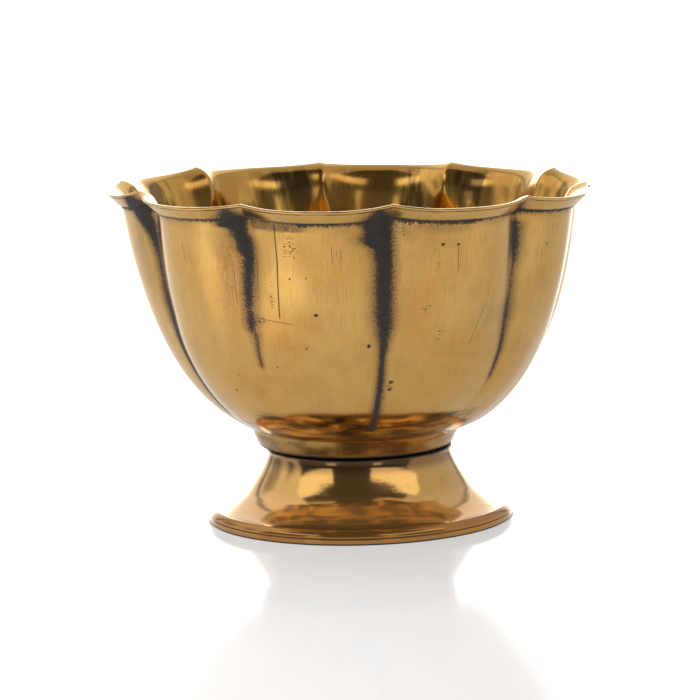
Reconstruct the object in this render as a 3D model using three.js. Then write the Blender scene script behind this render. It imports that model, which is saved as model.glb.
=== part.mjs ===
// A small brass bowl with ten lobes and an everted lip, standing on a hollow flared foot.
// Millimetres, +Z up. The origin is the centre of the foot's resting face.
// The bowl and the foot are separate castings, drawn together by a stud, a washer and a nut.
// The bowl's wall is turned as a smooth section first and then pinched inwards at each crease.

import * as THREE from "three";

// Overall sizes
const TIP_RADIUS = 38.1;
const HEIGHT = 52.6;
const LOBES = 10;
const FOOT_RADIUS = 23.95;

// Where the two castings meet, with the clearance kept between every pair of pieces
const GAP = 0.3;
const JOINT_Z = 11.3;
const BOSS_Z = JOINT_Z + GAP;

// Bowl casting
const WALL = 1.2;
const BOSS_EDGE = [15.25, 12.05];
const FLOOR_Z = 16.6;
const BLIND_HOLE_TOP = 15.2;
const WALL_FOOT = [16.45, 14.5];
const WALL_TOP = [35.65, 49.0];
const LIP_UNDERCUT = [35.9, 50.55];
const LIP_EDGE = 0.4;

// Lobes: how far a crease is pinched in, and how much lower the lip is between two creases
const CREASE_START_Z = 15.5;
const WALL_CREASE = 2.6;
const LIP_CREASE = 2.15;
const CREASE_GROWTH = 0.8;
const LIP_DROOP = 0.8;

// Foot casting
const NECK_TOP = [14.45, 11.0];
const CROWN_Z = 9.0;
const HOLLOW_RADIUS = 20.6;
const CROWN_HOLLOW_RADIUS = 12.6;

// Fastening through the foot's crown
const STUD_RADIUS = 2.4;
const STUD_BOTTOM = 3.2;
const STUD_CHAMFER = 0.5;
const HOLE_RADIUS = STUD_RADIUS + GAP;
const WASHER_RADIUS = 5.5;
const WASHER_THICKNESS = 1.0;
const NUT_ACROSS_FLATS = 8.0;
const NUT_HEIGHT = 3.2;
const NUT_CHAMFER = 0.35;

// Mesh fineness
const STEPS_PER_LOBE = 6;
const FOOT_STEPS = 54;
const SMALL_STEPS = 24;
const WALL_STEPS = 12;

const satinBrass = new THREE.MeshStandardMaterial({ color: 0xc9a24a, roughness: 0.36, metalness: 1 });
const polishedBrass = new THREE.MeshStandardMaterial({ color: 0xb9812f, roughness: 0.12, metalness: 1 });
const dullBrass = new THREE.MeshStandardMaterial({ color: 0x9c7a3a, roughness: 0.5, metalness: 1 });

const point = ([radius, height]) => new THREE.Vector2(radius, height);

function curve(start, pullA, pullB, end, steps) {
  const bezier = new THREE.CubicBezierCurve(point(start), point(pullA), point(pullB), point(end));
  return bezier.getPoints(steps);
}

// Each outline point moved sideways by a distance, to the left of the outline's direction
function offsetLeft(outline, distance) {
  return outline.map((here, index) => {
    const before = outline[Math.max(index - 1, 0)];
    const after = outline[Math.min(index + 1, outline.length - 1)];
    const along = after.clone().sub(before).normalize();
    return new THREE.Vector2(here.x - along.y * distance, here.y + along.x * distance);
  });
}

// A solid of revolution about +Z from an outline of (radius, height)
function turned(outline, steps) {
  const geometry = new THREE.LatheGeometry(outline, steps);
  geometry.rotateX(Math.PI / 2);
  return geometry;
}

function mesh(name, geometry, material) {
  const piece = new THREE.Mesh(geometry, material);
  piece.name = name;
  return piece;
}

// The wall's outer section from the boss up to the lip's undercut, at the middle of a lobe
function outerWall() {
  const flank = curve(WALL_FOOT, [28.05, 18.65], [34.0, 35.05], WALL_TOP, WALL_STEPS);
  return [...flank, point(LIP_UNDERCUT)];
}

function bowlOutline() {
  const outer = outerWall();
  const inner = offsetLeft(outer, WALL).filter((here) => here.x > WALL_FOOT[0] + 2).reverse();
  const innerFoot = inner[inner.length - 1];
  const lipBottom = HEIGHT - LIP_EDGE;
  return [
    point([0, BLIND_HOLE_TOP]),
    point([HOLE_RADIUS, BLIND_HOLE_TOP]),
    point([HOLE_RADIUS, BOSS_Z]),
    ...curve([13.6, BOSS_Z], [14.7, BOSS_Z], [15.05, 11.65], BOSS_EDGE, 4),
    ...outer,
    ...curve([36.5, 50.62], [37.0, 51.05], [37.5, 51.6], [TIP_RADIUS, lipBottom], 3),
    point([TIP_RADIUS, HEIGHT - 0.1]),
    point([TIP_RADIUS - 0.2, HEIGHT]),
    ...curve([37.2, HEIGHT - 0.1], [36.3, 52.0], [35.5, 51.2], [34.9, 50.3], 3),
    ...inner.slice(1),
    ...curve([innerFoot.x, innerFoot.y], [17.2, 16.4], [9, FLOOR_Z], [0, FLOOR_Z], 5).slice(1),
  ];
}

// How far a crease is pinched in at a point of the section
function creaseDepth(radius, height) {
  const climb = THREE.MathUtils.clamp((height - CREASE_START_Z) / (WALL_TOP[1] - CREASE_START_Z), 0, 1);
  const onLip = THREE.MathUtils.smoothstep(radius, LIP_UNDERCUT[0], TIP_RADIUS);
  const fullDepth = THREE.MathUtils.lerp(WALL_CREASE, LIP_CREASE, onLip);
  const fadeAtFloor = Math.min(radius / WALL_FOOT[0], 1);
  return fullDepth * climb ** CREASE_GROWTH * fadeAtFloor;
}

// Pinches a turned wall into lobes. A crease lies on -Y, and a lobe's middle on +X and on -X.
function pinchIntoLobes(geometry) {
  const place = geometry.attributes.position;
  const lobeAngle = (2 * Math.PI) / LOBES;
  for (let index = 0; index < place.count; index += 1) {
    const x = place.getX(index);
    const y = place.getY(index);
    const height = place.getZ(index);
    const radius = Math.hypot(x, y);
    if (height < CREASE_START_Z || radius < 1) continue;
    const turn = Math.atan2(x, -y) / lobeAngle;
    const fromMiddle = Math.abs(2 * (turn - Math.floor(turn)) - 1);
    const pinched = radius - creaseDepth(radius, height) * fromMiddle ** 2;
    const nearLip = THREE.MathUtils.smoothstep(height, WALL_TOP[1] - 5, HEIGHT);
    place.setX(index, (x * pinched) / radius);
    place.setY(index, (y * pinched) / radius);
    place.setZ(index, height - LIP_DROOP * nearLip * (1 - fromMiddle ** 3));
  }
  geometry.computeVertexNormals();
}

function makeBowl() {
  const geometry = turned(bowlOutline(), LOBES * STEPS_PER_LOBE);
  pinchIntoLobes(geometry);
  return mesh("bowl", geometry, satinBrass);
}

// Foot: resting band, groove, rounded ridge, flare, neck, crown with its hole, hollow
function footOutline() {
  const outline = [
    point([HOLLOW_RADIUS, 0]),
    point([FOOT_RADIUS - 0.15, 0]),
    point([FOOT_RADIUS, 0.15]),
    point([FOOT_RADIUS, 0.85]),
    point([23.72, 0.97]),
    ...curve([23.85, 1.1], [23.9, 1.35], [23.6, 1.95], [23.08, 2.22], 5),
    ...curve([22.9, 2.19], [21.9, 2.38], [20.7, 2.8], [19.6, 3.55], 5),
    ...curve([19.6, 3.55], [18.2, 4.5], [17.2, 5.8], [16.85, 6.4], 5).slice(1),
    ...curve([16.85, 6.4], [16.1, 7.55], [14.7, 9.6], NECK_TOP, 5).slice(1),
    point([NECK_TOP[0] - 0.35, JOINT_Z]),
    point([HOLE_RADIUS, JOINT_Z]),
    point([HOLE_RADIUS, CROWN_Z]),
    ...curve([CROWN_HOLLOW_RADIUS, CROWN_Z], [15.2, 7.2], [17.6, 2.4], [HOLLOW_RADIUS, 0], 9),
  ];
  return outline;
}

function makeFoot() {
  return mesh("foot", turned(footOutline(), FOOT_STEPS), polishedBrass);
}

function makeStud() {
  const top = BLIND_HOLE_TOP - GAP;
  const outline = [
    point([0, STUD_BOTTOM]),
    point([STUD_RADIUS - STUD_CHAMFER, STUD_BOTTOM]),
    point([STUD_RADIUS, STUD_BOTTOM + STUD_CHAMFER]),
    point([STUD_RADIUS, top - STUD_CHAMFER]),
    point([STUD_RADIUS - STUD_CHAMFER, top]),
    point([0, top]),
  ];
  return mesh("stud", turned(outline, SMALL_STEPS), dullBrass);
}

function makeWasher() {
  const top = CROWN_Z - GAP;
  const bottom = top - WASHER_THICKNESS;
  const outline = [
    point([HOLE_RADIUS, bottom]),
    point([WASHER_RADIUS - 0.15, bottom]),
    point([WASHER_RADIUS, bottom + 0.15]),
    point([WASHER_RADIUS, top]),
    point([HOLE_RADIUS, top]),
    point([HOLE_RADIUS, bottom]),
  ];
  return mesh("washer", turned(outline, SMALL_STEPS), dullBrass);
}

function makeNut() {
  const cornerRadius = NUT_ACROSS_FLATS / Math.sqrt(3) - NUT_CHAMFER;
  const hexagon = new THREE.Shape();
  for (let corner = 0; corner < 6; corner += 1) {
    const angle = (corner * Math.PI) / 3;
    const place = [cornerRadius * Math.cos(angle), cornerRadius * Math.sin(angle)];
    if (corner === 0) hexagon.moveTo(...place);
    else hexagon.lineTo(...place);
  }
  hexagon.closePath();
  hexagon.holes.push(new THREE.Path().absarc(0, 0, HOLE_RADIUS + NUT_CHAMFER, 0, 2 * Math.PI, true));
  const geometry = new THREE.ExtrudeGeometry(hexagon, {
    depth: NUT_HEIGHT - 2 * NUT_CHAMFER,
    curveSegments: SMALL_STEPS / 2,
    bevelThickness: NUT_CHAMFER,
    bevelSize: NUT_CHAMFER,
    bevelSegments: 1,
  });
  const nut = mesh("nut", geometry, dullBrass);
  nut.position.z = CROWN_Z - 2 * GAP - WASHER_THICKNESS - NUT_HEIGHT + NUT_CHAMFER;
  return nut;
}

const castings = new THREE.Group();
castings.add(makeBowl(), makeFoot());

const fastening = new THREE.Group();
fastening.add(makeStud(), makeWasher(), makeNut());

const lobedBowl = new THREE.Group();
lobedBowl.add(castings, fastening);

export default lobedBowl;
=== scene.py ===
"""A small brass bowl with ten lobes on a hollow flared foot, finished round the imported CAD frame.

Outlines are given in millimetres as (radius, height) and turned about the bowl's upright axis.
Overall sizes come from the frame; the proportions between them are named constants below.
"""

import math

import bpy
import numpy as np
from mathutils import Euler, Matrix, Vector


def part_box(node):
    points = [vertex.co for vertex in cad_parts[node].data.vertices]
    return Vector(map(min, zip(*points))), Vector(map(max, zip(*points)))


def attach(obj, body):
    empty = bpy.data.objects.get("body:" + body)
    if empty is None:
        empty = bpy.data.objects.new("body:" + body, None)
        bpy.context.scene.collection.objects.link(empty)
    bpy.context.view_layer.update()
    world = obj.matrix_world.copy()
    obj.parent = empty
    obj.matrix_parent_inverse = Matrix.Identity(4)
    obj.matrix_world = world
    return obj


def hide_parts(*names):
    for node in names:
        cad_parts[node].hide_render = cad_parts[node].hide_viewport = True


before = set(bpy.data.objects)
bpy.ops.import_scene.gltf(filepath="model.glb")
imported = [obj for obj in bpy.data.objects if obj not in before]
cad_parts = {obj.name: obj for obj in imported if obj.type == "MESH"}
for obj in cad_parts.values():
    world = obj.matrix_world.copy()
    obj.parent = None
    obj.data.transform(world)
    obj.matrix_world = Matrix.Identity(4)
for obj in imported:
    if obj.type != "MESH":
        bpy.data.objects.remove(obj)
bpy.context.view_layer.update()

MM = 0.001

# Sizes read from the CAD frame, in millimetres
bowl_low, bowl_high = (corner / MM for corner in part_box("bowl"))
_, foot_high = (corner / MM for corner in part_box("foot"))
stud_low, stud_high = (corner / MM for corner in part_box("stud"))
washer_low, washer_high = (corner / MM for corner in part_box("washer"))
nut_low, nut_high = (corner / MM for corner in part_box("nut"))
TIP_RADIUS = bowl_high.x
HEIGHT = bowl_high.z
BOSS_Z = bowl_low.z
FOOT_RADIUS = foot_high.x
JOINT_Z = foot_high.z
STUD_RADIUS = stud_high.x
HOLE_RADIUS = STUD_RADIUS + BOSS_Z - JOINT_Z

# The bowl's section
LOBES = 10
LIP_EDGE = 0.4
WALL = 1.2
FLOOR_Z = 16.4
FLOOR_EDGE = 21.0             # the radius where the wall's inside runs into the floor
BLIND_HOLE_TOP = 15.2
BOSS_EDGE = (15.25, 12.05)
WALL_FOOT = (16.45, 14.5)
WALL_TOP = (35.65, 49.0)
UNDERCUT = (35.9, 50.55)
LOBE_WIDTH = 2 * math.pi * WALL_TOP[0] / LOBES
FLARE_Z = 45.5                # where the inside begins to flare out into the lip
SCRIBE_RUN = 2.62             # from the undercut to the line scribed round the lip

# The lobes. A fillet is the share of half a lobe over which a crease is rounded.
CREASE_START_Z = 15.5
WALL_CREASE = 2.6
LIP_CREASE = 2.15
CREASE_GROWTH = 0.8
LIP_DROOP = 0.8
CREASE_FILLET = 0.06
LIP_FILLET = 0.14
INSIDE_FILLET = 0.16
WAVE_DEPTH = 0.3
RIPPLE_DEPTH = 1.3

# The foot's section
NECK_TOP = (14.45, 11.0)
GROOVE = (23.72, 0.98)
CROWN_Z = 9.0
HOLLOW_RADIUS = 20.6
CROWN_HOLLOW_RADIUS = 12.6

# Handmade unevenness, in millimetres unless a line says otherwise.
# The creases are counted round the bowl from the one on -Y, towards +X.
RIM_RISE = 0.0139             # how much the rim climbs for each millimetre towards -X
BOSS_ASIDE = -0.5
CREASE_LIFT = (0.0, 0.0, 0.1, 0.3, 0.0, -0.1, 0.2, 0.0, 0.5, -0.1)
LOBE_REACH = (0.0, -0.1, -0.5, -0.4, 0.0, 0.1, 0.0, 0.1, 0.2, 0.0)
CREASE_PINCH = (1.0, 1.0, 1.0, 1.0, 1.0, 1.0, 0.95, 0.6, 1.0, 1.0)
# Where each crease strays sideways, in hundredths of a lobe, at these heights
WANDER_HEIGHTS = (17, 20, 24, 29, 34, 44)
CREASE_WANDER = (
    (-10, -7, -5, -4, 1, 1),
    (-13, -4, 6, 7, 4, 2),
    (0, 3, 4, 3, 1, 0),
    (0, 0, -2, -3, -2, 0),
    (0, 3, 5, 4, 2, 0),
    (-3, -5, -4, -3, 0, 0),
    (0, 0, 2, 3, 2, 0),
    (-2, -4, -5, -3, -1, 0),
    (-3, -6, -8, -7, -2, -1),
    (-6, -7, -7, -7, -5, 0),
)

# Mesh fineness
STEPS_PER_LOBE = 36
FOOT_STEPS = 288
STUD_STEPS = 72
WASHER_STEPS = 96
NUT_STEPS = 120

# Camera: the distance and height of the eye from the foot's centre, and how it is turned
EYE_DISTANCE = 499.0
EYE_HEIGHT = 101.1
EYE_ASIDE = -1.08
EYE_AZIMUTH = math.radians(-8.67)
EYE_PITCH = math.radians(8.54)
EYE_ROLL = math.radians(-1.43)
LENS = 166.2

STAGE_RADIUS = 2.5            # in metres

# Brightness of the studio as the bowl's reflections see it
BEHIND = 5.0
BACKDROP = 1.0
OVERHEAD = 0.5
LEFT = 0.95
RIGHT = 0.62
CAMERA_SIDE = 0.085
CAMERA_SIDE_LOW = 0.17
WINDOW = 1.0
SOFTBOX = 1.38

# The same studio: (azimuth of the middle, half-width, lowest, highest, softness) in degrees.
# An azimuth is counted from the camera's side, to the right.
WHITE_SIDES = (2.0, 140.0, -20.0, 60.0, 4.0)
DARK_EDGES = ((-138.0, 3.0, -20.0, 60.0, 2.0), (142.0, 3.0, -20.0, 60.0, 2.0))
GREY_PANEL = (-122.0, 9.0, 4.0, 26.0, 5.0)
DARK_PANEL = (-97.0, 5.0, 12.0, 30.0, 4.0)
CAMERA_ROOM = (-8.0, 74.0, -20.0, 84.0, 3.0)
WINDOWS = ((-36.0, 6.0, 3.0, 22.0, 2.0), (22.0, 5.0, 5.0, 24.0, 2.0))
SOFTBOXES = ((-61.0, 23.0, 35.5, 48.0, 1.0), (47.0, 32.0, 36.5, 49.0, 1.0))


# ---------------------------------------------------------------- outlines and turned meshes

def bezier(start, pull_a, pull_b, end, steps):
    """Points of a cubic Bezier curve, both ends included."""
    t = np.linspace(0, 1, steps + 1)[:, None]
    start, pull_a, pull_b, end = (np.array(point, float) for point in (start, pull_a, pull_b, end))
    return ((1 - t) ** 3 * start + 3 * (1 - t) ** 2 * t * pull_a
            + 3 * (1 - t) * t ** 2 * pull_b + t ** 3 * end)


def line(start, end, steps):
    return np.linspace(start, end, steps + 1)


def join(*stretches):
    """One outline from several stretches, with repeated points dropped."""
    points = np.vstack([np.atleast_2d(stretch) for stretch in stretches])
    step = np.hypot(*np.diff(points, axis=0).T)
    return points[np.concatenate([[True], step > 1e-5])]


def offset_left(outline, distance):
    along = np.gradient(outline, axis=0)
    along /= np.hypot(*along.T)[:, None]
    return outline + distance * np.column_stack([-along[:, 1], along[:, 0]])


def run_length(outline):
    return np.concatenate([[0], np.cumsum(np.hypot(*np.diff(outline, axis=0).T))])


def run_at(outline, point):
    """The run length at the outline's nearest vertex."""
    nearest = np.hypot(*(outline - point).T).argmin()
    return run_length(outline)[nearest]


def smooth(low, high, value):
    t = np.clip((value - low) / (high - low), 0, 1)
    return t * t * (3 - 2 * t)


def turn(name, outline, angles, bend=None, settle=None, paint=None, closed=False):
    """A mesh turned about +Z from an outline of (radius, height) in mm.

    bend(radius, height, angle) and settle(x, y, z) return the three arrays changed.
    paint(row, angle, middle) returns {attribute: values} for the faces' corners. It gets each corner's row
    in the outline, its angle, and the angle of its face's middle.
    """
    rows, columns = len(outline), len(angles)
    radius, angle = np.meshgrid(outline[:, 0], angles, indexing="ij")
    height, _ = np.meshgrid(outline[:, 1], angles, indexing="ij")
    if bend:
        radius, height, angle = bend(radius, height, angle)
    x, y, z = radius * np.sin(angle), -radius * np.cos(angle), height
    if settle:
        x, y, z = settle(x, y, z)
    on_axis = outline[:, 0] < 1e-6
    index = np.zeros((rows, columns), int)
    points = []
    for row in range(rows):
        if on_axis[row]:
            index[row] = len(points)
            points.append((0.0, 0.0, z[row].mean()))
            continue
        index[row] = np.arange(columns) + len(points)
        points.extend(zip(x[row], y[row], z[row]))
    faces, corners = [], []
    last = rows if closed else rows - 1
    for row in range(last):
        above = (row + 1) % rows
        for column in range(columns):
            beside = (column + 1) % columns
            ring = [(row, column, 0), (row, beside, 1), (above, beside, 1), (above, column, 0)]
            vertices = [index[r, c] for r, c, _ in ring]
            kept = [k for k in range(4) if vertices[k] not in vertices[:k]]
            if len(kept) < 3:
                continue
            faces.append([vertices[k] for k in kept])
            corners.extend((ring[k][0], column + ring[k][2], column) for k in kept)
    mesh = bpy.data.meshes.new(name)
    mesh.from_pydata([tuple(c * MM for c in point) for point in points], [], faces)
    mesh.validate()
    mesh.update()
    if paint:
        corners = np.array(corners)
        turn_angles = np.append(angles, angles[0] + 2 * math.pi)
        middles = (turn_angles[:-1] + turn_angles[1:]) / 2
        painted = paint(corners[:, 0], turn_angles[corners[:, 1]], middles[corners[:, 2]])
        for attribute, values in painted.items():
            layer = mesh.attributes.new(attribute, "FLOAT", "CORNER")
            layer.data.foreach_set("value", np.asarray(values, np.float32))
    piece = bpy.data.objects.new(name, mesh)
    bpy.context.scene.collection.objects.link(piece)
    return piece


def full_turn(steps):
    return np.linspace(0, 2 * math.pi, steps + 1)[:-1]


def finish_shading(piece, sharp_degrees):
    piece.data.shade_smooth()
    piece.data.set_sharp_from_angle(angle=math.radians(sharp_degrees))


# ---------------------------------------------------------------- the bowl

def bowl_outline():
    """The bowl's section at the middle of a lobe, and the run length at the undercut of the lip."""
    flank = bezier(WALL_FOOT, (28.05, 18.65), (34.0, 35.05), WALL_TOP, 70)
    wall = join(flank, line(WALL_TOP, UNDERCUT, 5))
    inner = offset_left(wall, WALL)
    inner = inner[(inner[:, 0] > FLOOR_EDGE) & (inner[:, 1] < FLARE_Z)][::-1]
    boss = join(
        line((HOLE_RADIUS, BLIND_HOLE_TOP), (HOLE_RADIUS, BOSS_Z), 4),
        line((HOLE_RADIUS, BOSS_Z), (13.6, BOSS_Z), 8),
        bezier((13.6, BOSS_Z), (14.7, BOSS_Z), (15.05, 11.65), BOSS_EDGE, 10),
        bezier(BOSS_EDGE, (15.65, 12.9), (16.05, 13.85), WALL_FOOT, 12),
    )
    lip_bottom = HEIGHT - LIP_EDGE
    lip = join(
        bezier(UNDERCUT, (36.1, 50.6), (36.4, 50.5), (36.55, 50.62), 5),
        bezier((36.55, 50.62), (37.05, 51.2), (37.45, 51.65), (37.85, 52.12), 8),
        bezier((37.85, 52.12), (37.95, lip_bottom), (TIP_RADIUS, lip_bottom),
               (TIP_RADIUS, HEIGHT - 0.22), 4),
        bezier((TIP_RADIUS, HEIGHT - 0.22), (TIP_RADIUS, HEIGHT), (38.0, HEIGHT), (37.8, HEIGHT), 5),
        bezier((37.8, HEIGHT), (36.15, HEIGHT - 0.3), (34.75, 50.55), inner[0], 16),
    )
    into_floor = (inner[-1] - inner[-2]) / np.hypot(*(inner[-1] - inner[-2]))
    floor = bezier(inner[-1], inner[-1] + 3.0 * into_floor, (12, FLOOR_Z), (0, FLOOR_Z), 30)
    before_undercut = join((0, BLIND_HOLE_TOP), boss, wall)
    outline = join(before_undercut, lip, inner[1:], floor)
    return outline, run_length(before_undercut)[-1]


def wave(angle, height):
    """A slight unevenness of the wall, in mm."""
    random = np.random.default_rng(11)
    total = np.zeros_like(angle)
    for _ in range(16):
        around = random.integers(7, 30)
        along = random.uniform(-0.22, 0.22)
        phase = random.uniform(0, 2 * math.pi)
        total += WAVE_DEPTH / around * np.sin(around * angle + along * height + phase)
    return total


def ripple(angle, height):
    """Upright flutes left by hand polishing inside the bowl, in mm."""
    random = np.random.default_rng(5)
    total = np.zeros_like(angle)
    for around in (17, 23, 31, 38):
        lean = random.uniform(-0.12, 0.12)
        phase = random.uniform(0, 2 * math.pi)
        total += RIPPLE_DEPTH / around * np.sin(around * angle + lean * height + phase)
    return total


def shape_bowl(radius, height, angle):
    """Draws a turned wall in at each crease, lets the lip droop between creases, and leaves it uneven."""
    turns = angle / (2 * math.pi) * LOBES
    lobe = np.floor(turns).astype(int) % LOBES
    into_lobe = turns - np.floor(turns)
    from_middle = np.abs(2 * into_lobe - 1)
    inside = (np.arange(len(radius)) > radius[:, 0].argmax())[:, None]
    on_lip = smooth(UNDERCUT[0], TIP_RADIUS, radius)
    fillet = CREASE_FILLET + LIP_FILLET * on_lip + INSIDE_FILLET * inside * smooth(49, 44, height)
    near_crease = np.clip((from_middle - 1 + fillet) / fillet, 0, 1)
    pinch = from_middle ** 2 - fillet * near_crease ** 2
    nearest = np.round(turns).astype(int) % LOBES
    pinch *= 1 + (np.array(CREASE_PINCH)[nearest] - 1) * smooth(0, 1, from_middle)
    climb = np.clip((height - CREASE_START_Z) / (WALL_TOP[1] - CREASE_START_Z), 0, 1)
    depth = WALL_CREASE + (LIP_CREASE - WALL_CREASE) * on_lip
    depth = depth * climb ** CREASE_GROWTH * np.clip(radius / WALL_FOOT[0], 0, 1)
    near_lip = smooth(WALL_TOP[1] - 5, HEIGHT, height)

    lifted = np.array(CREASE_LIFT)[nearest] * from_middle ** 4
    reach = np.array(LOBE_REACH)[lobe] * (1 - from_middle ** 2) * smooth(30, HEIGHT, height)
    wander = np.array([np.interp(height, WANDER_HEIGHTS, line) for line in CREASE_WANDER]) / 100
    stray = np.take_along_axis(wander, lobe[None], 0)[0] * (1 - into_lobe)
    stray += np.take_along_axis(wander, (lobe[None] + 1) % LOBES, 0)[0] * into_lobe
    on_wall = smooth(14, 20, radius)

    sunk = height - near_lip * (LIP_DROOP * (1 - from_middle ** 3) - lifted)
    within = inside * smooth(49, 44, height)
    uneven = wave(angle, height) * (1 + 2 * within) + ripple(angle, height) * within
    shaped = radius - depth * pinch + reach + uneven * on_wall
    return shaped, sunk, angle + stray * on_wall * 2 * math.pi / LOBES


def settle_bowl(x, y, z):
    """The bowl sits a little out of true on its foot."""
    from_stud = smooth(6, 13, np.hypot(x, y))
    rising = 0.35 + 0.65 * smooth(12, 17, z)
    aside = BOSS_ASIDE * from_stud * (1 - smooth(13.4, 16, z))
    return x + aside, y, z - x * RIM_RISE * rising


# Tarnish along each crease, in mm: (depth below the lip, how far it reaches to the left, and to the right).
# A reach below nought is an edge on the other side of the crease.
BARE = (-2.0, -2.0)
CREASE_TARNISH = (
    [(0.0, 4.8, 0.6), (1.8, 3.9, 0.3), (3.0, 4.7, 0.3), (3.9, 3.9, 0.3), (4.7, 2.8, 0.3), (6.5, 2.3, 0.3),
     (15.0, 2.1, 0.2), (17.6, 1.6, 0.15), (20.0, 0.85, 0.2), (22.6, 0.42, 0.3), (38.0, 0.4, 0.4),
     (38.7, *BARE)],
    [(0.0, 1.6, 1.0), (0.7, 0.7, 0.4), (1.3, -0.5, -0.2), (2.2, 0.6, 0.9), (5.6, 0.5, 1.0),
     (7.1, 0.1, 0.85), (8.6, -0.25, 0.5), (9.4, -0.1, 0.25), (13.4, -0.05, 0.2), (15.0, 0.3, 0.35),
     (22.6, 0.25, 0.3), (27.0, 0.12, 0.14), (33.0, *BARE)],
    [(0.0, 1.4, 0.8), (6.0, 1.0, 0.4), (9.0, 0.5, 0.2), (20.0, 0.3, 0.2), (33.0, 0.1, 0.1), (35.0, *BARE)],
    [(0.0, 2.6, 2.0), (5.0, 1.9, 0.5), (16.0, 0.8, 0.2), (30.0, 0.3, 0.1), (36.0, *BARE)],
    [(0.0, 1.2, 3.0), (4.0, 0.6, 1.6), (12.0, 0.2, 0.9), (24.0, 0.1, 0.3), (32.0, *BARE)],
    [(0.0, 2.8, 2.2), (7.0, 1.6, 1.4), (22.0, 0.6, 0.5), (36.0, 0.2, 0.2), (38.0, *BARE)],
    [(0.0, 1.0, 1.0), (3.0, 0.4, 0.9), (9.0, 0.2, 0.4), (28.0, 0.1, 0.1), (32.0, *BARE)],
    [(0.0, 3.2, 1.6), (6.0, 1.8, 0.4), (20.0, 0.7, 0.2), (33.0, 0.2, 0.1), (36.0, *BARE)],
    [(0.0, 5.6, 0.4), (1.4, 4.6, -1.0), (2.5, 3.6, -0.4), (4.3, 2.0, 0.0), (6.2, 1.1, 0.1),
     (8.3, 0.6, 0.2), (11.0, 0.6, 0.3), (15.0, 0.9, 0.5), (22.5, 0.7, 0.5), (28.6, 0.4, 0.4),
     (36.0, 0.2, 0.2), (39.0, *BARE)],
    [(0.0, 4.8, 0.0), (1.2, 4.6, -0.5), (1.7, 2.7, -0.6), (2.6, 2.7, -0.5), (3.7, 2.2, 0.35),
     (5.2, 2.0, 0.45), (6.4, 1.3, 0.4), (10.0, 1.3, 0.1), (13.0, 1.3, -0.1), (14.5, 1.1, -0.4),
     (16.2, 1.1, 0.1), (17.8, 0.9, -0.3), (18.6, 0.1, 0.12), (24.0, 0.08, 0.08), (26.5, *BARE)],
)

# Dirt packed under the lip: (place round the bowl in lobes, its thickness in mm)
LIP_DIRT = (
    (-5.0, 0.6), (-4.4, 0.4), (-4.0, 1.0), (-3.5, 0.45), (-3.0, 0.9), (-2.7, 0.4), (-2.25, 0.6),
    (-2.0, 0.9), (-1.93, 0.45), (-1.86, 0.6), (-1.8, 0.35), (-1.3, 0.3), (-1.2, 0.6), (-1.03, 0.5),
    (-0.9, 0.22), (-0.64, 0.25), (-0.6, 0.75), (-0.52, 0.55), (-0.3, 0.4), (-0.1, 0.6), (0.08, 0.7),
    (0.28, 0.55), (0.5, 0.75), (0.56, 0.7), (0.62, 0.35), (0.82, 0.3), (0.95, 0.7), (1.1, 0.5),
    (1.6, 0.4), (2.0, 0.8), (2.6, 0.4), (3.0, 0.9), (3.5, 0.5), (4.0, 0.8), (4.5, 0.4), (5.0, 0.6),
)

# Soft patches: (place round the bowl in lobes; then in mm the depth below the lip, the half-width and
# the half-height; and the strength)
BROWN_STAINS = (
    (0.28, 0.8, 5.0, 1.5, 0.8), (0.45, 1.2, 3.0, 1.0, 0.7), (-0.3, 0.7, 4.5, 1.0, 0.5),
    (0.1, 2.2, 1.6, 2.4, 0.6), (-1.17, 8.0, 1.9, 12.0, 0.85), (-2.2, 6.0, 2.6, 9.0, 0.6),
    (1.02, 6.0, 1.8, 8.0, 0.7), (0.1, 12.0, 3.0, 11.0, 0.35), (-0.6, 5.0, 2.2, 3.4, 0.45),
    (3.4, 1.2, 4.0, 1.4, 0.8), (-4.4, 1.3, 5.0, 1.6, 0.7), (-2.6, 1.0, 3.6, 1.2, 0.8),
    (-3.6, 9.0, 4.0, 7.0, 0.4), (2.6, 7.0, 4.0, 8.0, 0.4), (4.4, 8.0, 3.0, 9.0, 0.4),
)
ORANGE_STAINS = (
    (-0.42, 9.0, 4.0, 3.5, 0.5), (-0.76, 18.0, 3.0, 3.5, 0.8), (-0.55, 16.5, 2.6, 2.6, 0.6),
    (-1.12, 12.0, 2.2, 6.0, 0.4), (0.2, 14.0, 3.0, 5.0, 0.4), (2.4, 15.0, 4.0, 4.0, 0.6),
    (-3.3, 19.0, 4.0, 3.0, 0.6), (4.3, 12.0, 3.0, 5.0, 0.5),
)
CHATTER = (
    (0.30, 7.6, 0.9, 1.0, 1.0), (0.30, 5.4, 0.5, 0.9, 1.0), (0.26, 14.2, 1.3, 0.8, 1.0),
    (0.37, 18.0, 1.0, 2.2, 0.9), (-0.92, 16.2, 1.2, 0.9, 0.9), (-0.68, 4.2, 1.7, 2.8, 1.0),
    (-0.83, 12.6, 0.45, 3.2, 1.0), (0.08, 27.2, 0.9, 1.5, 1.0), (0.05, 29.8, 1.0, 0.9, 0.8),
    (-1.15, 2.4, 2.0, 1.0, 0.7), (0.08, 1.6, 1.4, 1.8, 0.9), (0.15, 22.8, 0.4, 1.6, 0.9),
    (2.3, 9.0, 1.2, 3.0, 0.9), (-3.4, 14.0, 1.2, 2.0, 0.9), (4.4, 20.0, 1.4, 2.0, 0.9),
    (-4.2, 8.0, 1.0, 3.0, 0.9),
)
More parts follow.
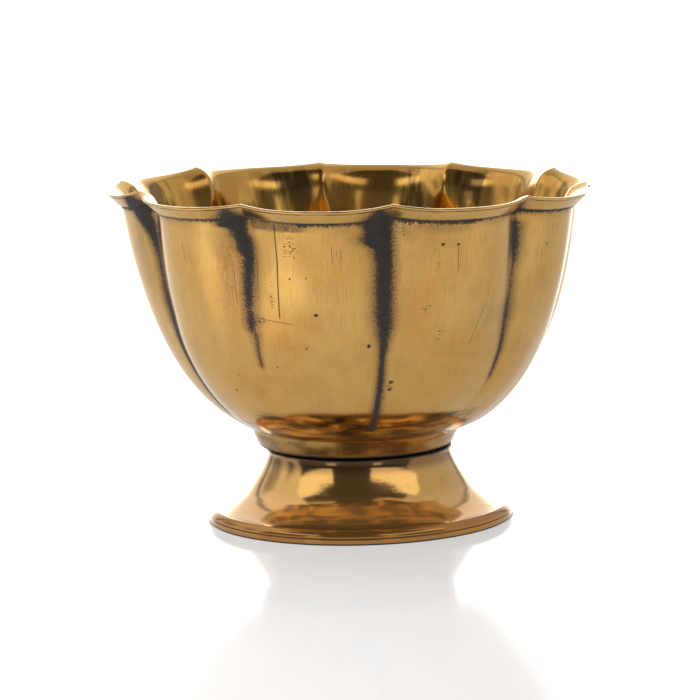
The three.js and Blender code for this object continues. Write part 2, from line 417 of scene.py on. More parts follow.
# Patches at the wall's foot where the painted shade is left out, so bare brass stands in for bright
# reflections: painted reflections, not wear
REFLECTION_PATCHES = (
    (-0.714, 35.0, 2.2, 1.1, 1.0), (-0.21, 34.6, 1.5, 1.0, 1.0), (0.25, 34.9, 3.8, 1.7, 1.0),
    (-0.36, 36.4, 0.8, 1.0, 0.9), (0.03, 36.2, 1.0, 0.9, 0.8), (-0.81, 40.2, 4.0, 0.8, 0.9),
    (0.30, 40.4, 3.6, 0.7, 0.7), (1.05, 36.8, 1.2, 0.9, 0.9), (-1.30, 37.0, 1.6, 1.6, 0.9),
    (2.0, 34.5, 7.5, 5.0, 1.0), (1.45, 34.0, 4.0, 4.0, 1.0), (2.8, 36.4, 1.8, 1.2, 0.9),
    (3.6, 35.0, 3.0, 0.9, 0.9), (4.5, 36.0, 1.6, 1.2, 0.9), (-2.2, 34.5, 7.5, 5.0, 1.0),
    (-1.55, 34.0, 4.2, 4.0, 1.0), (-3.1, 36.2, 1.8, 1.2, 0.9), (-4.1, 35.2, 2.8, 0.9, 0.9),
)


def paint_bowl(outline, undercut_run):
    """What the bowl's material needs to know at each corner of its faces, in mm."""
    run = run_length(outline)
    below = undercut_run - run
    lobe_width = 2 * math.pi * outline[:, 0] / LOBES

    def paint(row, angle, middle):
        turns = angle / (2 * math.pi) * LOBES
        middle = middle / (2 * math.pi) * LOBES
        crease = np.round(middle)
        across = (turns - crease) * lobe_width[row]
        depth = below[row]
        place = np.where(middle > LOBES / 2, turns - LOBES, turns)
        cover = np.zeros(len(row))
        for number, marks in enumerate(CREASE_TARNISH):
            marks = np.array(marks)
            left = np.interp(depth, marks[:, 0], marks[:, 1])
            right = np.interp(depth, marks[:, 0], marks[:, 2])
            here = crease.astype(int) % LOBES == number
            cover = np.where(here, np.minimum(left + across, right - across), cover)
        cover = np.where(depth < 0, cover + np.where(depth > -3, 0.8, 3) * depth, cover)

        def patches(marks):
            strongest = np.zeros(len(row))
            for middle_place, level, half_width, half_height, strength in marks:
                aside = (place - middle_place) * lobe_width[row]
                spread = (aside / half_width) ** 2 + ((depth - level) / half_height) ** 2
                strongest = np.maximum(strongest, strength * np.exp(-spread))
            return strongest

        return {
            "below_lip": depth,
            "round_lip": place * LOBE_WIDTH,
            "cover": cover,
            "lip_dirt": np.interp(place, *np.array(LIP_DIRT).T),
            "brown_stain": patches(BROWN_STAINS),
            "orange_stain": patches(ORANGE_STAINS),
            "chatter": patches(CHATTER),
            "worn": patches(REFLECTION_PATCHES),
            "joint_dirt": (run_at(outline, BOSS_EDGE) - run)[row],
        }

    return paint


def lobe_angles(steps):
    """Angles round the bowl, closer together beside the creases, with this many steps to a lobe."""
    t = np.linspace(-1, 1, steps + 1)[:-1]
    in_lobe = 1.3 * t - 0.3 * t ** 3
    return np.concatenate([(lobe + 0.5 + in_lobe / 2) * 2 * math.pi / LOBES for lobe in range(LOBES)])


def make_bowl():
    outline, undercut_run = bowl_outline()
    paint = paint_bowl(outline, undercut_run)
    bowl = turn("bowl_casting", outline, lobe_angles(STEPS_PER_LOBE), shape_bowl, settle_bowl, paint)
    finish_shading(bowl, 50)
    return bowl


# ---------------------------------------------------------------- the foot

def foot_outline():
    return join(
        line((HOLLOW_RADIUS, 0), (FOOT_RADIUS - 0.2, 0), 6),
        bezier((FOOT_RADIUS - 0.2, 0), (FOOT_RADIUS, 0), (FOOT_RADIUS, 0.05), (FOOT_RADIUS, 0.2), 3),
        line((FOOT_RADIUS, 0.2), (FOOT_RADIUS, 0.85), 5),
        bezier((FOOT_RADIUS, 0.85), (FOOT_RADIUS, 0.92), (23.85, 0.92), (23.77, 0.94), 3),
        bezier((23.77, 0.94), (23.72, 0.96), (23.72, 1.0), (23.77, 1.02), 3),
        bezier((23.77, 1.02), (24.0, 1.2), (23.7, 1.85), (23.08, 2.22), 16),
        bezier((23.08, 2.22), (23.02, 2.17), (22.98, 2.17), (22.9, 2.19), 4),
        bezier((22.9, 2.19), (21.9, 2.38), (20.7, 2.8), (19.6, 3.55), 24),
        bezier((19.6, 3.55), (19.05, 3.93), (18.55, 4.38), (18.1, 4.8), 12),
        bezier((18.1, 4.8), (17.65, 5.27), (17.2, 5.86), (16.85, 6.4), 12),
        bezier((16.85, 6.4), (16.1, 7.55), (15.37, 8.73), (14.8, 9.9), 22),
        bezier((14.8, 9.9), (14.62, 10.26), (14.5, 10.6), NECK_TOP, 10),
        bezier(NECK_TOP, (14.43, JOINT_Z - 0.08), (14.3, JOINT_Z), (14.1, JOINT_Z), 6),
        line((14.1, JOINT_Z), (13.8, JOINT_Z), 2),
        line((13.8, JOINT_Z), (HOLE_RADIUS, JOINT_Z), 8),
        line((HOLE_RADIUS, JOINT_Z), (HOLE_RADIUS, CROWN_Z), 4),
        line((HOLE_RADIUS, CROWN_Z), (CROWN_HOLLOW_RADIUS - 0.4, CROWN_Z), 8),
        bezier((CROWN_HOLLOW_RADIUS - 0.4, CROWN_Z), (15.2, 8.6), (17.6, 2.4), (HOLLOW_RADIUS, 0), 40),
    )[:-1]


def paint_foot(outline):
    """The run along the outline, past the neck's top and from the groove, at each corner, in mm."""
    run = run_length(outline)
    past_neck = run - run_at(outline, NECK_TOP)
    from_groove = np.abs(run - run_at(outline, GROOVE))

    def paint(row, angle, middle):
        return {"run": run[row], "joint_dirt": past_neck[row], "groove": from_groove[row]}

    return paint


def make_foot():
    outline = foot_outline()
    foot = turn("foot_casting", outline, full_turn(FOOT_STEPS), paint=paint_foot(outline), closed=True)
    finish_shading(foot, 50)
    return foot


# ---------------------------------------------------------------- the fastening inside the foot

def make_stud():
    """A rod with a screw thread cut along it, chamfered at both ends."""
    pitch, depth, chamfer_length = 0.8, 0.42, 0.5
    low, high = stud_low.z, stud_high.z
    heights = np.linspace(low, high, 150)
    outline = join((0, low), np.column_stack([np.full(len(heights), STUD_RADIUS), heights]), (0, high))

    def cut(radius, height, angle):
        phase = (height / pitch - angle / (2 * math.pi)) % 1
        groove = depth * np.clip(1.15 - np.abs(2 * phase - 1) * 1.3, 0, 1)
        chamfer = np.minimum(1, np.minimum(height - low, high - height) / chamfer_length)
        return np.where(radius > 0, (radius - groove) * (0.8 + 0.2 * chamfer), 0), height, angle

    stud = turn("stud_rod", outline, full_turn(STUD_STEPS), cut)
    finish_shading(stud, 60)
    return stud


def make_washer():
    inner, outer = HOLE_RADIUS, washer_high.x
    low, high, edge = washer_low.z, washer_high.z, 0.14
    outline = join(
        line((inner, low + edge), (inner + edge, low), 2),
        line((inner + edge, low), (outer - edge, low), 6),
        bezier((outer - edge, low), (outer, low), (outer, low), (outer, low + edge), 3),
        bezier((outer, high - edge), (outer, high), (outer, high), (outer - edge, high), 3),
        line((outer - edge, high), (inner + edge, high), 6),
        line((inner + edge, high), (inner, high - edge), 2),
    )
    washer = turn("washer_ring", outline, full_turn(WASHER_STEPS), closed=True)
    finish_shading(washer, 40)
    return washer


def make_nut():
    """A hexagon nut whose corners are turned down at both faces."""
    across_flats = nut_high.y - nut_low.y
    low, high = nut_low.z, nut_high.z
    inner, chamfer = HOLE_RADIUS, 0.35
    crown = 0.48 * across_flats
    corner = across_flats         # beyond the sides, which shape() brings in
    outline = np.array([
        (inner, low + chamfer), (inner + chamfer, low), (crown, low),
        (corner, low), (corner, low + 1), (corner, high - 1), (corner, high),
        (crown, high), (inner + chamfer, high), (inner, high - chamfer),
    ])

    def shape(radius, height, angle):
        sixth = math.pi / 3
        flat = across_flats / 2 / np.cos((angle + math.pi / 6 + math.pi / 2) % sixth - sixth / 2)
        on_side = radius > crown + 1
        turned_down = (flat - crown) * math.tan(math.radians(30))
        height = np.where(on_side & (height == low), low + turned_down, height)
        height = np.where(on_side & (height == high), high - turned_down, height)
        return np.where(on_side, flat, radius), height, angle

    nut = turn("nut_hexagon", outline, full_turn(NUT_STEPS), shape, closed=True)
    finish_shading(nut, 25)
    return nut


# ---------------------------------------------------------------- material helpers

class Tree:
    """Short calls for building a node tree. A value is a number, a tuple or another node's output."""

    def __init__(self, tree):
        self.tree = tree
        self.tree.nodes.clear()

    def add(self, kind, inputs=None, **settings):
        node = self.tree.nodes.new(kind)
        for name, value in settings.items():
            setattr(node, name, value)
        for name, value in (inputs or {}).items():
            self.feed(node.inputs[name], value)
        return node

    def feed(self, socket, value):
        if isinstance(value, bpy.types.NodeSocket):
            self.tree.links.new(value, socket)
        else:
            socket.default_value = value

    def math(self, operation, first, second=0.0):
        return self.add("ShaderNodeMath", {0: first, 1: second}, operation=operation).outputs[0]

    def times(self, first, *others):
        """The product of several values."""
        for other in others:
            first = self.math("MULTIPLY", first, other)
        return first

    def most(self, first, *others):
        """The greatest of several values."""
        for other in others:
            first = self.math("MAXIMUM", first, other)
        return first

    def sway(self, value, noise, size):
        """A value moved up and down by a noise."""
        return self.math("ADD", value, self.times(self.math("SUBTRACT", noise, 0.5), size))

    def scale(self, vector, factors):
        return self.add("ShaderNodeVectorMath", {0: vector, 1: factors}, operation="MULTIPLY").outputs[0]

    def dot(self, first, second):
        node = self.add("ShaderNodeVectorMath", {0: first, 1: second}, operation="DOT_PRODUCT")
        return node.outputs["Value"]

    def attribute(self, name):
        return self.add("ShaderNodeAttribute", attribute_name=name).outputs["Fac"]

    def noise(self, vector, scale, detail=2.0, roughness=0.5):
        inputs = {"Vector": vector, "Scale": scale, "Detail": detail, "Roughness": roughness}
        return self.add("ShaderNodeTexNoise", inputs).outputs["Fac"]

    def step(self, value, low, high, out_low=0.0, out_high=1.0):
        """A smooth step from low to high."""
        inputs = {"Value": value, "From Min": low, "From Max": high, "To Min": out_low, "To Max": out_high}
        return self.add("ShaderNodeMapRange", inputs, interpolation_type="SMOOTHSTEP").outputs[0]

    def blend(self, amount, first, second):
        """From the first colour, at nought, to the second, at one."""
        return self.add_mix("RGBA", {0: amount, 6: first, 7: second}).outputs[2]

    def lerp(self, amount, first, second):
        """From the first number, at nought, to the second, at one."""
        return self.add_mix("FLOAT", {0: amount, 2: first, 3: second}).outputs[0]

    def add_mix(self, data_type, inputs):
        return self.add("ShaderNodeMix", inputs, data_type=data_type)

    def layers(self, base, *layers):
        """A base colour with layers of (amount, colour) laid over it, one after another."""
        for amount, colour in layers:
            base = self.blend(amount, base, colour)
        return base

    def millimetres(self):
        place = self.add("ShaderNodeTexCoord").outputs["Object"]
        return self.scale(place, (1 / MM, 1 / MM, 1 / MM))

    def axes(self, vector):
        return self.add("ShaderNodeSeparateXYZ", {0: vector}).outputs

    def surface(self, colour, roughness, metallic, coat, bump_height, bump_distance):
        """The surface shader, with its bump in millimetres."""
        inputs = {"Height": bump_height, "Distance": bump_distance * MM, "Strength": 1.0}
        bump = self.add("ShaderNodeBump", inputs)
        shader = self.add("ShaderNodeBsdfPrincipled", {
            "Base Color": colour, "Roughness": roughness, "Metallic": metallic, "Normal": bump.outputs[0],
            "Coat Weight": coat, "Coat Roughness": 0.2,
        })
        self.add("ShaderNodeOutputMaterial", {"Surface": shader.outputs[0]})


def new_material(name, kind=Tree):
    material = bpy.data.materials.new(name)
    material.use_nodes = True
    return material, kind(material.node_tree)


# ---------------------------------------------------------------- brass, dirt and wear

GOLD = (0.67, 0.398, 0.106, 1)
GOLD_WARM = (0.67, 0.378, 0.094, 1)
GOLD_FOOT = (0.70, 0.365, 0.094, 1)
# Pale gold for the painted highlight on the foot's flange
PALE_GOLD_HIGHLIGHT = (0.88, 0.48, 0.15, 1)
GOLD_PALE = (0.68, 0.42, 0.123, 1)
GOLD_INSIDE = (0.75, 0.42, 0.095, 1)
ORANGE = (0.62, 0.285, 0.06, 1)
BROWN = (0.30, 0.155, 0.052, 1)
DULL_BROWN = (0.15, 0.095, 0.05, 1)
DEEP_BROWN = (0.085, 0.058, 0.034, 1)
# Brown for the film inside the bowl and for the painted reflection on the foot's rim
BROWN_FILM_AND_REFLECTION = (0.44, 0.20, 0.045, 1)
# Soot black, also used for the painted contact shadow under the foot
SOOT_AND_SHADOW_BLACK = (0.020, 0.017, 0.016, 1)
RUSTY_SOOT = (0.055, 0.036, 0.024, 1)

# Places on the bowl below are (lobes round the bowl, mm below the lip).
# Scratches: (one end, the other end, width in mm)
SCRATCHES = (
    ((-0.788, 0.2), (-0.778, 15.8), 0.16), ((-0.98, 15.7), (-0.67, 16.4), 0.07),
    ((0.45, 4.3), (0.458, 8.8), 0.07), ((0.72, 13.5), (0.62, 21.0), 0.06),
    ((-0.955, 6.0), (-0.95, 13.0), 0.07), ((-1.13, 8.0), (-1.12, 14.0), 0.06),
    ((-1.52, 4.2), (-1.51, 7.8), 0.06), ((-0.34, 4.2), (-0.34, 6.4), 0.05),
    ((-0.40, 3.8), (-0.40, 7.2), 0.06), ((-0.37, 4.4), (-0.37, 6.0), 0.05),
    ((2.4, 4.0), (2.5, 12.0), 0.08), ((-3.4, 6.0), (-3.3, 10.0), 0.08),
)
# Pits: (lobes round the bowl, mm below the lip, radius in mm)
PITS = (
    (0.34, 4.1, 0.34), (0.45, 4.2, 0.26), (-0.512, 14.75, 0.36), (-0.954, 16.3, 0.26), (-0.128, 20.0, 0.40),
    (-1.358, 29.0, 0.34), (0.078, 26.6, 0.42), (0.075, 28.0, 0.36), (-0.692, 9.2, 0.16), (-0.576, 9.0, 0.2),
    (-1.25, 25.9, 0.16), (-0.844, 23.9, 0.16), (1.31, 5.8, 0.2), (-0.584, 20.3, 0.18), (2.3, 18.0, 0.3),
    (3.6, 11.0, 0.3), (-3.5, 16.0, 0.34), (4.6, 24.0, 0.3),
)
# A dull band: its upper left and lower right corners
DULL_BAND = ((-1.03, 0.1), (-0.60, 1.6))


class BowlTree(Tree):
    """The bowl's node tree: where a point of it is, the noises there, and how strong each layer is."""

    def __init__(self, tree):
        super().__init__(tree)
        self.place = self.millimetres()
        self.below = self.attribute("below_lip")
        self.around = self.attribute("round_lip")
        self.past_boss = self.attribute("joint_dirt")
        self.unrolled = self.add("ShaderNodeCombineXYZ", {0: self.around, 1: self.below}).outputs[0]
        self.outside = self.step(self.below, -0.6, 0.0)
        self.inside = self.step(self.below, -4.0, -6.0)
        # The tarnish has a sharper edge in the lower half of the wall
        self.cover = self.times(self.attribute("cover"), self.step(self.below, 16.0, 24.0, 1.0, 2.4))

        self.fine = self.noise(self.place, 3.6, 3, 0.6)
        self.mottle = self.noise(self.place, 0.45, 3, 0.6)
        self.clouds = self.noise(self.place, 0.22, 4, 0.65)
        self.broad = self.noise(self.place, 0.085, 3, 0.5)
        self.brushed = self.stretched(4.2, 0.30, 4, 0.65)
        self.threads = self.stretched(9.0, 0.22, 3, 0.6)
        self.grain = self.math("ADD", self.times(self.brushed, 0.5), self.times(self.fine, 0.5))
        combed = self.stretched(0.9, 9.0, 3, 0.7)
        self.ragged = self.math("ADD", self.times(combed, 0.45), self.times(self.fine, 0.55))

    def stretched(self, around, down, detail, roughness):
        """A noise on the unrolled wall, with a scale of its own each way."""
        return self.noise(self.scale(self.unrolled, (around, down, 1)), 1.0, detail, roughness)

    def crust(self):
        """Black tarnish in the creases, breaking up at its edges, and dirt at the lip and the joint."""
        bare = self.lerp(self.step(self.cover, -1.6, 1.6), 0.78, 0.22)
        in_creases = self.step(self.math("SUBTRACT", self.ragged, bare), -0.09, 0.12)
        dirt = self.times(self.attribute("lip_dirt"), self.step(self.grain, 0.35, 0.65, 0.5, 1.3))
        from_edge = self.math("SUBTRACT", dirt, self.below)
        from_edge = self.math("MINIMUM", from_edge, self.math("ADD", self.below, 0.66))
        under_lip = self.step(self.sway(from_edge, self.fine, 0.8), -0.32, 0.26)
        from_line = self.math("ABSOLUTE", self.math("ADD", self.below, SCRIBE_RUN))
        gaps = self.step(self.stretched(0.14, 0, 2, 0.6), 0.38, 0.56, 0.15, 0.95)
        scribed = self.times(self.step(from_line, 0.13, 0.05), gaps)
        at_joint = self.math("ADD", self.past_boss, self.times(self.fine, 0.5))
        at_joint = self.step(at_joint, -0.1, 0.6, 0.0, 0.88)
        return self.most(in_creases, under_lip, scribed, at_joint)

    def pits(self):
        marks = 0.0
        wobble = self.times(self.math("SUBTRACT", self.fine, 0.5), 0.9)
        for lobes, depth, size in PITS:
            inputs = {0: self.unrolled, 1: (lobes * LOBE_WIDTH, depth, 0)}
            away = self.add("ShaderNodeVectorMath", inputs, operation="DISTANCE").outputs["Value"]
            pit = self.step(self.math("ADD", away, wobble), size, size * 0.6, 0.0, 0.95)
            marks = self.most(marks, pit)
        return marks

    def scratches(self):
        marks = 0.0
        for (start_lobes, start_depth), (end_lobes, end_depth), width in SCRATCHES:
            start = Vector((start_lobes * LOBE_WIDTH, start_depth, 0))
            end = Vector((end_lobes * LOBE_WIDTH, end_depth, 0))
            length = (end - start).length
            along = (end - start) / length
            inputs = {0: self.unrolled, 1: start}
            from_start = self.add("ShaderNodeVectorMath", inputs, operation="SUBTRACT").outputs[0]
            far = self.dot(from_start, along)
            aside = self.math("ABSOLUTE", self.dot(from_start, (along.y, -along.x, 0)))
            scratch = self.times(self.step(aside, width, width * 0.3), self.step(far, 0.0, 0.4),
                                 self.step(far, length, length - 0.6, 0.0, 0.85))
            marks = self.most(marks, scratch)
        return marks

    def tool_marks(self):
        """Short marks where a tool chattered, and specks that are thicker near the lip."""
        chatter = self.attribute("chatter")
        tooled = self.math("ADD", self.stretched(1.2, 5.5, 4, 0.65), self.times(chatter, 0.19))
        tooled = self.times(self.step(tooled, 0.70, 0.76), self.step(chatter, 0.05, 0.3))
        speck_room = self.step(self.below, 16.0, 0.5, 0.0, 0.06)
        specks = self.step(self.math("ADD", self.fine, speck_room), 0.765, 0.80, 0.0, 0.8)
        return self.times(self.most(tooled, specks), self.outside)

    def haze(self):
        """Thin soot round the crust."""
        return self.step(self.sway(self.cover, self.ragged, 4.0), -1.4, 0.7, 0.0, 0.75)

    def brown_film(self):
        """Brown film beside the crust, in stains, under the lip, in fine strands and at the joint."""
        beside = self.math("ADD", self.cover, self.times(self.brushed, 2.4))
        beside = self.step(beside, -1.9, 1.5, 0.0, 0.72)
        stains = self.times(self.attribute("brown_stain"), self.step(self.grain, 0.3, 0.7, 0.5, 1.2))
        under_lip = self.times(self.outside, self.step(self.below, 2.4, 0.2, 0.0, 0.45))
        strands = self.times(self.step(self.threads, 0.46, 0.70, 0.0, 0.42),
                             self.step(self.below, 34.0, 3.0, 0.3, 1.0), self.outside)
        at_joint = self.step(self.past_boss, -3.0, -1.8, 0.0, 0.45)
        return self.most(beside, stains, under_lip, strands, at_joint)

    def orange_stains(self):
        return self.times(self.attribute("orange_stain"), self.step(self.mottle, 0.3, 0.6, 0.4, 1.0))

    def dull_band(self):
        """A dull band under the lip, with soft ends."""
        (left, top), (right, bottom) = DULL_BAND
        left, right = left * LOBE_WIDTH, right * LOBE_WIDTH
        uneven = self.sway(self.below, self.mottle, 1.2)
        return self.times(
            self.step(self.around, left, left + 1.2), self.step(self.around, right + 2.0, right - 1.0),
            self.step(uneven, bottom + 0.3, bottom - 0.2), self.step(self.below, top - 0.1, top),
            self.step(self.math("ADD", self.grain, self.mottle), 0.75, 1.3, 0.35, 0.95),
        )

    def painted_shade_at_foot(self):
        """Painted shade in streaks on the wall's foot and, weaker towards +X, on the boss, left out at the
        reflection patches.
        """
        near_boss = self.step(self.past_boss, -12.6, -11.2)
        streaks = self.step(self.stretched(0.11, 0.45, 2, 0.5), 0.60, 0.40, 0.3, 0.92)
        on_boss = self.step(self.past_boss, -4.5, -2.0)
        across = self.axes(self.place)[0]
        weaker_on_boss = self.lerp(on_boss, 1.0, self.step(across, 2.0, 11.0, 0.62, 0.2))
        # The painted shade is left out at the reflection patches
        worn = self.step(self.attribute("worn"), 0.1, 0.7, 1.0, 0.0)
        return self.times(near_boss, streaks, weaker_on_boss, worn)

    def on_floor(self):
        return self.times(self.step(self.axes(self.place)[2], 22.0, 17.0), self.inside)

    def inner_streaks(self):
        return self.stretched(0.20, 0.05, 3, 0.55)


def bowl_material():
    material, tree = new_material("tarnished_polished_brass", BowlTree)
    crust = tree.most(tree.crust(), tree.pits(), tree.scratches(), tree.tool_marks())
    film, band, painted_foot_shade, on_floor = tree.brown_film(), tree.dull_band(), tree.painted_shade_at_foot(), tree.on_floor()

    # Inside: brown streaks down the wall, darker streaks near the mouth that are painted dark reflections,
    # and clouds on the floor
    streaks = tree.inner_streaks()
    near_mouth = tree.times(tree.inside, tree.step(tree.below, -24.0, -15.0))
    # Painted dark reflections: dark brown streaks near the mouth
    painted_mouth_reflections = tree.times(tree.step(streaks, 0.47, 0.38, 0.0, 0.7), near_mouth)
    inner_film = tree.times(tree.step(streaks, 0.45, 0.60, 0.0, 0.6), tree.inside)
    inner_film = tree.lerp(on_floor, inner_film, tree.step(tree.clouds, 0.46, 0.66, 0.0, 0.4))

    base = tree.layers(
        GOLD_PALE,
        (tree.step(tree.broad, 0.35, 0.65), GOLD_WARM),
        (tree.step(tree.mottle, 0.3, 0.75, 0.0, 0.5), GOLD),
        (tree.step(tree.clouds, 0.46, 0.70, 0.0, 0.18), BROWN),
        (tree.orange_stains(), ORANGE),
        (film, BROWN),
        (band, DULL_BROWN),
        # Painted shade at the wall's foot and on the boss
        (painted_foot_shade, DEEP_BROWN),
        (tree.step(tree.below, -3.0, -5.0, 0.0, 0.8), GOLD_INSIDE),
        (inner_film, BROWN_FILM_AND_REFLECTION),
        (painted_mouth_reflections, DEEP_BROWN),
        (tree.haze(), RUSTY_SOOT),
        (crust, tree.blend(tree.step(tree.fine, 0.35, 0.7), SOOT_AND_SHADOW_BLACK, RUSTY_SOOT)),
    )
    rough = tree.lerp(on_floor, tree.step(tree.brushed, 0.35, 0.7, 0.10, 0.19), 0.16)
    rough = tree.math("ADD", rough, tree.times(film, 0.12))
    rough = tree.math("ADD", rough, tree.step(tree.below, -4.0, -7.0, 0.0, 0.05))
    rough = tree.lerp(tree.most(crust, band), rough, 0.6)
    metal = tree.lerp(crust, tree.lerp(band, 1.0, 0.6), 0.1)
    relief = tree.times(tree.threads, tree.lerp(on_floor, 0.10, 0.0))
    relief = tree.math("ADD", relief, tree.times(tree.mottle, 0.12))
    relief = tree.math("ADD", relief, tree.times(crust, tree.fine, 0.8))
    coat = tree.step(tree.most(crust, band, painted_foot_shade), 0.6, 0.0, 0.0, 0.3)
    coat = tree.times(coat, tree.step(tree.below, -5.0, -3.0))
    tree.surface(base, rough, metal, coat, relief, 0.03)
    return material


def foot_material():
    material, tree = new_material("polished_brass")
    place = tree.millimetres()
    height = tree.axes(place)[2]
    run = tree.attribute("run")
    past_neck = tree.attribute("joint_dirt")
    broad = tree.noise(place, 0.12, 3, 0.5)
    mottle = tree.noise(place, 0.6, 3, 0.6)
    rings = tree.add("ShaderNodeCombineXYZ", {0: tree.times(run, 3.0)}).outputs[0]
    turning = tree.noise(rings, 1.0, 4, 0.7)

    at_joint = tree.step(tree.math("ADD", past_neck, tree.times(mottle, 0.3)), -0.1, 0.35)
    in_groove = tree.step(tree.attribute("groove"), 0.14, 0.02, 0.0, 0.6)
    # A painted contact shadow: the resting edge darkened to soot black
    painted_contact_shadow = tree.step(height, 0.34, 0.16, 0.0, 0.95)
    # Dark at the joint and in the groove, together with the painted contact shadow
    dirt_and_painted_shadow = tree.most(at_joint, in_groove, painted_contact_shadow)
    # Painted shade: the neck under the joint turned brown
    painted_shade_under_joint = tree.step(past_neck, -2.6, -0.8, 0.0, 0.95)
    # A painted highlight: the lower foot made paler and less metallic
    painted_flange_highlight = tree.step(height, 6.5, 4.5)
    # A painted dark reflection: the foot's bead and band made browner, with less coat
    painted_rim_reflection = tree.step(tree.math("ADD", height, tree.times(turning, 0.5)), 2.7, 2.3, 0.0, 0.9)

    base = tree.layers(
        GOLD_FOOT,
        (tree.step(broad, 0.35, 0.65), GOLD_WARM),
        (tree.most(painted_shade_under_joint, tree.step(mottle, 0.55, 0.9, 0.0, 0.4)), BROWN),
        (painted_flange_highlight, PALE_GOLD_HIGHLIGHT),
        (painted_rim_reflection, BROWN_FILM_AND_REFLECTION),
        (dirt_and_painted_shadow, SOOT_AND_SHADOW_BLACK),
    )
    rough = tree.math("ADD", 0.07, tree.times(tree.step(mottle, 0.4, 0.8), 0.06))
    rough = tree.lerp(dirt_and_painted_shadow, rough, 0.6)
    relief = tree.math("ADD", tree.times(turning, 0.25), tree.times(mottle, 0.6))
    metal = tree.lerp(dirt_and_painted_shadow, tree.lerp(painted_flange_highlight, 1.0, 0.72), 0.1)
    coat = tree.lerp(dirt_and_painted_shadow, tree.lerp(painted_rim_reflection, 0.7, 0.15), 0.0)
    tree.surface(base, rough, metal, coat, relief, 0.02)
    return material


def fastener_material():
    material, tree = new_material("dull_turned_brass")
    place = tree.millimetres()
    mottle = tree.noise(place, 0.9, 4, 0.6)
    fine = tree.noise(place, 5.0, 3, 0.6)
    base = tree.layers(GOLD_WARM, (tree.step(mottle, 0.35, 0.7), BROWN))
    rough = tree.step(mottle, 0.3, 0.8, 0.3, 0.55)
    tree.surface(base, rough, 1.0, 0.0, fine, 0.02)
    return material


# ---------------------------------------------------------------- stage, light and camera

def make_floor():
    """A white acrylic sheet that glows by painted emission, unevenly and with a pool of painted light, as if
    lit from below.
    """
    mesh = bpy.data.meshes.new("floor")
    ring = [(STAGE_RADIUS * math.cos(a), STAGE_RADIUS * math.sin(a), 0) for a in full_turn(64)]
    mesh.from_pydata(ring, [], [list(range(len(ring)))])
    floor = bpy.data.objects.new("floor", mesh)
    bpy.context.scene.collection.objects.link(floor)
    material, tree = new_material("white_acrylic_with_painted_glow")
    across, forward, _ = tree.axes(tree.millimetres())
    # Painted light: the floor's own glow, brighter to the front and to the left
    painted_glow = tree.times(
        tree.step(forward, -15.0, -90.0, 0.85, 1.12), tree.step(forward, -115.0, -150.0, 1.0, 0.88),
        tree.step(across, -110.0, 40.0, 0.82, 0.60),
    )
    # A painted pool of light, where the floor glows brighter still
    painted_light_pool = tree.times(
        tree.step(across, -40.0, -75.0), tree.step(across, -160.0, -110.0),
        tree.step(forward, -2.0, -28.0), tree.step(forward, -95.0, -65.0),
    )
    painted_glow = tree.times(painted_glow, tree.lerp(painted_light_pool, 1.0, 1.45))
    shader = tree.add("ShaderNodeBsdfPrincipled", {
        "Base Color": (0.28, 0.278, 0.276, 1), "Roughness": 0.1, "IOR": 1.12,
        "Emission Color": (1, 0.99, 0.98, 1), "Emission Strength": painted_glow,
    })
    tree.add("ShaderNodeOutputMaterial", {"Surface": shader.outputs[0]})
    mesh.materials.append(material)


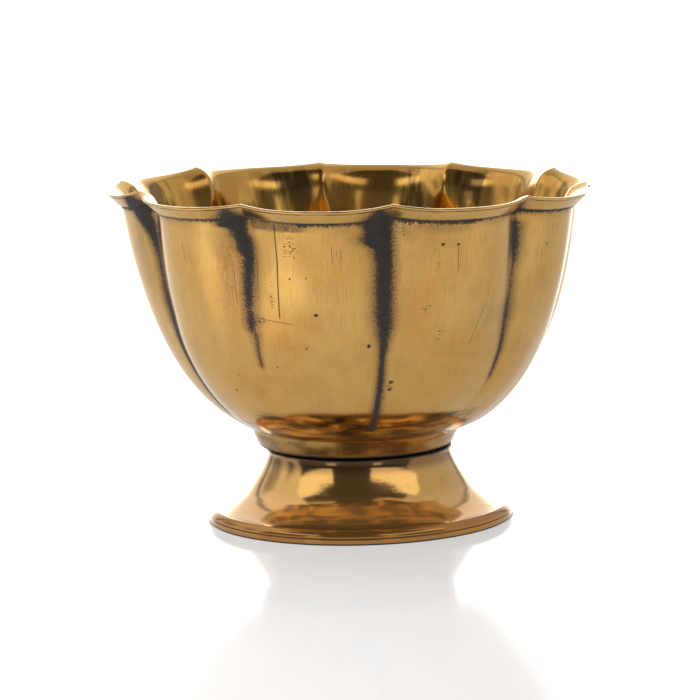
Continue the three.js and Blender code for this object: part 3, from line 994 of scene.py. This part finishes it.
def make_world():
    """White to the eye. Reflections show a bright backdrop, a dark camera side, windows and softboxes."""
    world = bpy.data.worlds.new("studio")
    bpy.context.scene.world = world
    world.use_nodes = True
    tree = Tree(world.node_tree)
    direction = tree.add("ShaderNodeTexCoord").outputs["Generated"]
    x, y, z = tree.axes(direction)
    degrees = 180 / math.pi
    azimuth = tree.times(tree.math("ARCTAN2", x, tree.times(y, -1.0)), degrees)
    azimuth = tree.math("SUBTRACT", azimuth, math.degrees(EYE_AZIMUTH))
    elevation = tree.times(tree.math("ARCSINE", z), degrees)

    def patch(centre, half_width, low, high, soft):
        aside = tree.math("ABSOLUTE", tree.math("SUBTRACT", azimuth, centre))
        return tree.times(
            tree.step(aside, half_width + soft, half_width - soft),
            tree.step(elevation, low - soft, low + soft), tree.step(elevation, high + soft, high - soft),
        )

    behind = tree.dot(direction, (-math.sin(EYE_AZIMUTH), math.cos(EYE_AZIMUTH), 0))
    behind = tree.times(tree.step(behind, 0.80, 0.97), tree.step(elevation, 26.0, 8.0))
    camera_ray = tree.add("ShaderNodeLightPath").outputs["Is Camera Ray"]
    light = tree.step(elevation, 60.0, 30.0, OVERHEAD, BACKDROP)
    for amount, brightness in (
        (behind, BEHIND),
        (patch(*WHITE_SIDES), tree.step(azimuth, -40.0, 40.0, LEFT, RIGHT)),
        (tree.most(*(patch(*edge) for edge in DARK_EDGES)), 0.3),
        (patch(*GREY_PANEL), 0.4),
        (patch(*DARK_PANEL), 0.3),
        (patch(*CAMERA_ROOM), tree.step(elevation, 32.0, 18.0, CAMERA_SIDE, CAMERA_SIDE_LOW)),
        (tree.most(*(patch(*window) for window in WINDOWS)), WINDOW),
        (tree.most(*(patch(*softbox) for softbox in SOFTBOXES)), SOFTBOX),
        (camera_ray, 1.0),
    ):
        light = tree.lerp(amount, light, brightness)
    background = tree.add("ShaderNodeBackground", {"Color": (1, 1, 1, 1), "Strength": light})
    tree.add("ShaderNodeOutputWorld", {"Surface": background.outputs[0]})


def make_camera():
    data = bpy.data.cameras.new("camera")
    data.lens = LENS
    data.sensor_width = 36
    camera = bpy.data.objects.new("camera", data)
    bpy.context.scene.collection.objects.link(camera)
    away = Vector((math.sin(EYE_AZIMUTH), -math.cos(EYE_AZIMUTH), 0))
    right = Vector((math.cos(EYE_AZIMUTH), math.sin(EYE_AZIMUTH), 0))
    camera.location = MM * (EYE_DISTANCE * away + EYE_ASIDE * right + Vector((0, 0, EYE_HEIGHT)))
    turned = Euler((math.pi / 2 - EYE_PITCH, 0, EYE_AZIMUTH)).to_matrix()
    rolled = Euler((0, 0, EYE_ROLL)).to_matrix()
    camera.rotation_euler = (turned @ rolled).to_euler()
    bpy.context.scene.camera = camera


# ---------------------------------------------------------------- putting it together

def place(piece, node, slot, material):
    piece.data.materials.append(material)
    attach(piece, "root")
    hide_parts(node)


make_camera()
make_floor()
make_world()
fastener = fastener_material()
place(make_bowl(), "bowl", "satin_brass", bowl_material())
place(make_foot(), "foot", "polished_brass", foot_material())
place(make_stud(), "stud", "fastener_brass", fastener)
place(make_washer(), "washer", "fastener_brass", fastener)
place(make_nut(), "nut", "fastener_brass", fastener)

bpy.context.scene.view_settings.view_transform = "Standard"
